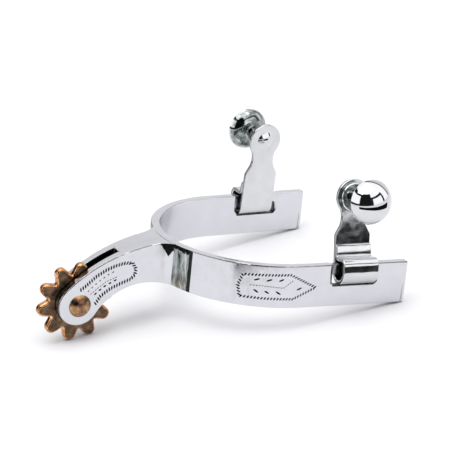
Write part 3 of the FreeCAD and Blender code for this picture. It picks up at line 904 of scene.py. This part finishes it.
# ---- hangers, collars and buttons
def strip_path():
    """The middle of the strip in (outwards, height), from the flap's top round the eye to the plate."""
    flap = -EYE_INNER + STRIP_THICK + FLAP_GAP
    return outline([
        (flap, FLAP_TOP),
        (flap, FLAP_TOP - FLAP_SKIVE),
        (flap, EYE_ROOF + FLAP_BEND, FLAP_BEND, 8),
        (flap + FLAP_BEND, EYE_ROOF),
        (EYE_OUTER - EYE_ROOF_BEND, EYE_ROOF, -EYE_ROOF_BEND, 10),
        (EYE_OUTER, EYE_ROOF - EYE_ROOF_BEND),
        (EYE_OUTER, -EYE_BOTTOM + EYE_OUTER_BEND, -EYE_OUTER_BEND, 14),
        (EYE_OUTER - EYE_OUTER_BEND, -EYE_BOTTOM),
        (-EYE_INNER + EYE_INNER_BEND, -EYE_BOTTOM, -EYE_INNER_BEND, 10),
        (-EYE_INNER, -EYE_BOTTOM + EYE_INNER_BEND),
    ])


def plate_side():
    """The right-hand edge of the plate in (along, height), from its shoulder to the disc's top."""
    blend = math.radians(DISC_BLEND)
    disc_x, disc_z = DISC_RADIUS * math.cos(blend), DISC_HEIGHT - DISC_RADIUS * math.sin(blend)
    return outline([
        (HANGER_HALF, SHOULDER_HEIGHT),
        (WAIST_HALF, WAIST_HEIGHT, -WAIST_ROUND, 10),
        (disc_x, disc_z, DISC_RADIUS, 24),
        (0, DISC_HEIGHT + DISC_RADIUS),
    ])


HANGER_EDGE_ROUND = 0.34


def hanger_mesh():
    """The hanger: one strip from the flap round the eye, and the shaped plate at its other end."""
    path = strip_path()
    bent = []
    for number, point in enumerate(path):
        before, after = path[max(number - 1, 0)], path[min(number + 1, len(path) - 1)]
        bent.append((point, (after - before).normalized()))
    bent[-1] = (bent[-1][0], Vector((0, 1)))
    last = len(bent) - 1

    def place(key, layer):
        number, along, height = key
        point, direction = bent[number]
        depth = FLAP_END if number == 0 and layer == 0 else STRIP_THICK / 2
        offset = Vector((-direction.y, direction.x)) * depth * (1 if layer == 0 else -1)
        lift = height - point.y if height is not None else 0
        return (along, point.x + offset.x, point.y + offset.y + lift)

    cells = []
    for number in range(last):
        cells.append(([(number, -HANGER_HALF, None), (number, HANGER_HALF, None),
                       (number + 1, HANGER_HALF, None), (number + 1, -HANGER_HALF, None)], False))
    edge = [(round(p.x, 5), round(p.y, 5)) for p in plate_side()]
    ring = [(last, -HANGER_HALF, None), (last, HANGER_HALF, None)]
    ring += [(last, x, z) for x, z in edge] + [(last, -x, z) for x, z in reversed(edge[:-1])]
    cells.append((ring, False))
    mesh = stack(cells, place, 2)
    for face in mesh.faces:
        if abs(face.normal.x) > 0.35:
            face.material_index = SHEARED_EDGE
    return round_edges(mesh, HANGER_EDGE_ROUND, 3, 40)


def button_profile():
    """A strap button from its peened tenon behind the hanger, by neck and boss, to its domed head."""
    boss = BUTTON_REACH - BUTTON_BACK - BUTTON_BOSS
    peen = [(radius, -STRIP_THICK - height) for radius, height in
            reversed(dome(PEEN_RADIUS, PEEN_HEIGHT, 0, 10))]
    shaft = fillet([
        (TENON_RADIUS, -STRIP_THICK), (TENON_RADIUS, COLLAR_THICK), (BUTTON_NECK, COLLAR_THICK),
        (BUTTON_NECK, boss), (BUTTON_BOSS_RADIUS, boss), (BUTTON_BOSS_RADIUS, boss + BUTTON_BOSS),
    ], {2: 0.2, 3: 0.7, 4: 0.3})
    back = arc((BUTTON_BOSS_RADIUS, boss + BUTTON_BOSS), (BUTTON_RADIUS, BUTTON_REACH),
               BUTTON_BACK_ROUND, 14)
    front = dome(BUTTON_RADIUS, BUTTON_DOME, BUTTON_REACH, 28)
    return peen + [tuple(p) for p in shaft[:-1]] + [tuple(p) for p in back] + front


def button_mesh():
    """A strap button, darker and patchy behind its head."""
    mesh = lathe(button_profile())
    for face in mesh.faces:
        if 0 < face.calc_center_median().y < BUTTON_REACH - 0.8:
            face.material_index = DULL_NECK
    return mesh


def collar_profile():
    """A washer with a rounded outer edge."""
    rim = fillet([
        (TENON_RADIUS, 0), (COLLAR_RADIUS, 0), (COLLAR_RADIUS, COLLAR_THICK), (TENON_RADIUS, COLLAR_THICK),
    ], {1: 0.2, 2: COLLAR_ROUND})
    return [tuple(p) for p in rim] + [(TENON_RADIUS, 0)]


# ---- pieces
band = piece("heel_band_plated", band_mesh(), band_frame, "spur_frame",
             [band_steel, weld_and_shade_steel, rim_dark_reflection, painted_shade_steel, groove_shade_steel], ["heel_band"])
engrave(band, cutters("arm_strokes", arm_strokes(), [arm_face(-1), arm_face(1)]))

shank = piece("drop_shank_plated", shank_mesh(), band_frame, "spur_frame",
              [band_steel, flare_dark_reflection, rim_dark_reflection, painted_shade_steel, groove_shade_steel], ["shank"])
engrave(shank, cutters("shank_strokes", shank_strokes(), [shank_face(-1), shank_face(1)]))

pin_place = band_frame @ Matrix.Translation((-PIN_BACK, 0, -PIN_DROP))
rowel_place = pin_place @ Matrix.Rotation(-PITCH, 4, "Y")
piece("ten_point_rowel", rowel_mesh(), rowel_place, "rowel_wheel",
      [rowel_face, rowel_edge], ["rowel"])
piece("rowel_rivet", lathe(rivet_profile(), 72), pin_place, "spur_frame",
      [pin_bronze], ["rowel_pin"])

for side in ("left", "right"):
    hung = hinge_frame(side)
    face = hung @ Matrix.Translation((0, -EYE_INNER + STRIP_THICK / 2, DISC_HEIGHT))
    hanger_set = side + "_hanger_set"
    piece(side + "_hanger_plated", hanger_mesh(), hung, hanger_set,
          [hanger_steel, edge_steel], [side + "_hanger"])
    piece(side + "_collar_turned", lathe(collar_profile(), 96), face, hanger_set,
          [button_steel], [side + "_collar"])
    piece(side + "_button_turned", button_mesh(), face, hanger_set,
          [button_steel, neck_steel], [side + "_button"])


# ---- studio
FLOOR_HALF, FLOOR_DROP = 3, 0.0002  # metres, as in all the studio but its camera


def matt(name, rough, scale, dark, pale):
    """A dull surface of the studio, cloudy between two tones."""
    material, tree, shader, where = new_material(name, 0.0)
    shader.inputs["Roughness"].default_value = rough
    shader.inputs["Specular IOR Level"].default_value = 0.0
    clouds = ramp(tree, noise(tree, where, scale), [(0.3, dark), (0.7, pale)])
    tree.links.new(clouds, shader.inputs["Base Color"])
    return material


def studio_floor():
    """A wide pale sheet under the spur."""
    mesh = bmesh.new()
    bmesh.ops.create_grid(mesh, x_segments=2, y_segments=2, size=FLOOR_HALF)
    paper = matt("floor_paper", 0.9, 4, (0.86, 0.86, 0.875), (0.88, 0.88, 0.89))
    made = finished("studio_floor", mesh, [paper])
    made.location.z = -FLOOR_DROP


def direction(azimuth, elevation):
    """A direction, its azimuth counted from -Y towards +X and its elevation from level, in degrees."""
    a, e = math.radians(azimuth), math.radians(elevation)
    return (math.sin(a) * math.cos(e), -math.cos(a) * math.cos(e), math.sin(e))


# The light tent, painted in order, in degrees. A disc is (azimuth, elevation, half angle, brightness)
# and a panel is (first azimuth, last azimuth, lowest elevation, highest elevation, brightness).
TENT_WHITE, TENT_BACKGROUND, TENT_BLACK = 1.25, 0.8, 0.012
TENT_DISCS = [(150, 0, 56, TENT_BLACK), (150, 0, 49, TENT_BACKGROUND)]
TENT_PANELS = [
    (-154, -6, -20, 54, TENT_BLACK),
    (-132, -66, 7, 42, TENT_WHITE),
    (-7, 62, -20, 36, TENT_BLACK),
    (2, 52, -6, 27, TENT_WHITE),
]
TENT_SOFT = 1.5
TENT_TINT = (0.985, 0.985, 1.0)


def blend_towards(tree, mask, under, brightness):
    """The brightness under a mask: under where the mask is zero."""
    rise = calculate(tree, "SUBTRACT", brightness, under)
    return calculate(tree, "MULTIPLY_ADD", mask, rise, under)


def between(tree, value, low, high):
    """One where an angle lies between two others, and zero elsewhere."""
    soft = math.radians(TENT_SOFT)
    low, high = math.radians(low), math.radians(high)
    above = smooth_step(tree, value, low - soft, low + soft)
    below = smooth_step(tree, value, high + soft, high - soft)
    return calculate(tree, "MULTIPLY", above, below)


def studio_world():
    """A white tent with black gaps, which the plating mirrors. The camera itself sees plain white."""
    world = bpy.data.worlds.new("light_tent")
    scene.world = world
    world.use_nodes = True
    tree = world.node_tree
    where = tree.nodes.new("ShaderNodeTexCoord").outputs["Generated"]
    parts = tree.nodes.new("ShaderNodeSeparateXYZ")
    tree.links.new(where, parts.inputs["Vector"])
    forward = calculate(tree, "MULTIPLY", parts.outputs["Y"], -1)
    azimuth = calculate(tree, "ARCTAN2", parts.outputs["X"], forward)
    elevation = calculate(tree, "ARCSINE", parts.outputs["Z"])
    light = TENT_WHITE
    for towards_azimuth, towards_elevation, half_angle, brightness in TENT_DISCS:
        facing = tree.nodes.new("ShaderNodeVectorMath")
        facing.operation = "DOT_PRODUCT"
        facing.inputs[1].default_value = direction(towards_azimuth, towards_elevation)
        tree.links.new(where, facing.inputs[0])
        mask = smooth_step(tree, facing.outputs["Value"],
                           math.cos(math.radians(half_angle + TENT_SOFT)),
                           math.cos(math.radians(half_angle - TENT_SOFT)))
        light = blend_towards(tree, mask, light, brightness)
    for first, last, lowest, highest, brightness in TENT_PANELS:
        mask = calculate(tree, "MULTIPLY", between(tree, azimuth, first, last),
                         between(tree, elevation, lowest, highest))
        light = blend_towards(tree, mask, light, brightness)
    seen = tree.nodes.new("ShaderNodeLightPath").outputs["Is Camera Ray"]
    light = blend_towards(tree, seen, light, 1.0)
    tree.links.new(light, tree.nodes["Background"].inputs["Strength"])
    tree.nodes["Background"].inputs["Color"].default_value = (*TENT_TINT, 1)


FLAG_REACH, FLAG_HEIGHT, FLAG_STEPS = 0.15, 0.028, 60
FLAG_START, FLAG_SWEEP = -42, 104


def studio_flag():
    """A low black card round the front of the set, seen only in mirror-bright surfaces."""
    mesh = bmesh.new()
    posts = []
    for step in range(FLAG_STEPS + 1):
        foot = Vector(direction(FLAG_START + FLAG_SWEEP * step / FLAG_STEPS, 0)) * FLAG_REACH
        posts.append((mesh.verts.new(foot), mesh.verts.new(foot + Vector((0, 0, FLAG_HEIGHT)))))
    for (low, high), (next_low, next_high) in zip(posts, posts[1:]):
        mesh.faces.new([low, next_low, next_high, high])
    felt = matt("flag_felt", 1.0, 60, (0.004,) * 3, (0.012,) * 3)
    made = finished("studio_flag", mesh, [felt])
    for ray in ("camera", "diffuse", "shadow", "transmission", "volume_scatter"):
        setattr(made, "visible_" + ray, False)


LIGHT_DISTANCE, LIGHT_POWER = 0.9, 1.4
LIGHT_TARGET = Vector((0, 0, 0.02))


def soft_light(name, azimuth, elevation, size):
    """A square softbox that faces the spur."""
    towards = Vector(direction(azimuth, elevation))
    data = bpy.data.lights.new(name, "AREA")
    data.size = size
    data.energy = LIGHT_POWER
    made = linked(name, data)
    made.location = LIGHT_TARGET + towards * LIGHT_DISTANCE
    made.rotation_mode = "QUATERNION"
    made.rotation_quaternion = (-towards).to_track_quat("-Z", "Y")


# The photograph's view in the band frame, in degrees and millimetres.
CAMERA_AZIMUTH, CAMERA_ELEVATION, CAMERA_ROLL = -27.51, 18.34, 5.83
CAMERA_TARGET, CAMERA_DISTANCE = Vector((22.85, 0, 18.32)), 753.6
CAMERA_LENS, CAMERA_SENSOR = 162.432, 36
EXPOSURE = 0.2


def studio_camera():
    """The camera looks down on the near side from behind the heel, turned a little on its axis."""
    azimuth, roll = math.radians(CAMERA_AZIMUTH), math.radians(CAMERA_ROLL)
    back = Vector(direction(CAMERA_AZIMUTH, CAMERA_ELEVATION))
    level = Vector((math.cos(azimuth), math.sin(azimuth), 0))
    upright = back.cross(level)
    right = level * math.cos(roll) + upright * math.sin(roll)
    up = upright * math.cos(roll) - level * math.sin(roll)
    local = Matrix((right, up, back)).transposed().to_4x4()
    local.translation = CAMERA_TARGET + back * CAMERA_DISTANCE
    data = bpy.data.cameras.new("photo_view")
    data.lens = CAMERA_LENS
    data.sensor_width = CAMERA_SENSOR
    data.clip_start, data.clip_end = 0.05, 20
    camera = linked("photo_view", data)
    placed = band_frame @ local
    placed.translation *= MM
    camera.matrix_world = placed
    scene.camera = camera


studio_floor()
studio_world()
studio_flag()
soft_light("key_softbox", -75, 68, 0.45)
soft_light("top_softbox", 30, 80, 0.7)
studio_camera()
scene.view_settings.view_transform = "Standard"
scene.view_settings.exposure = EXPOSURE
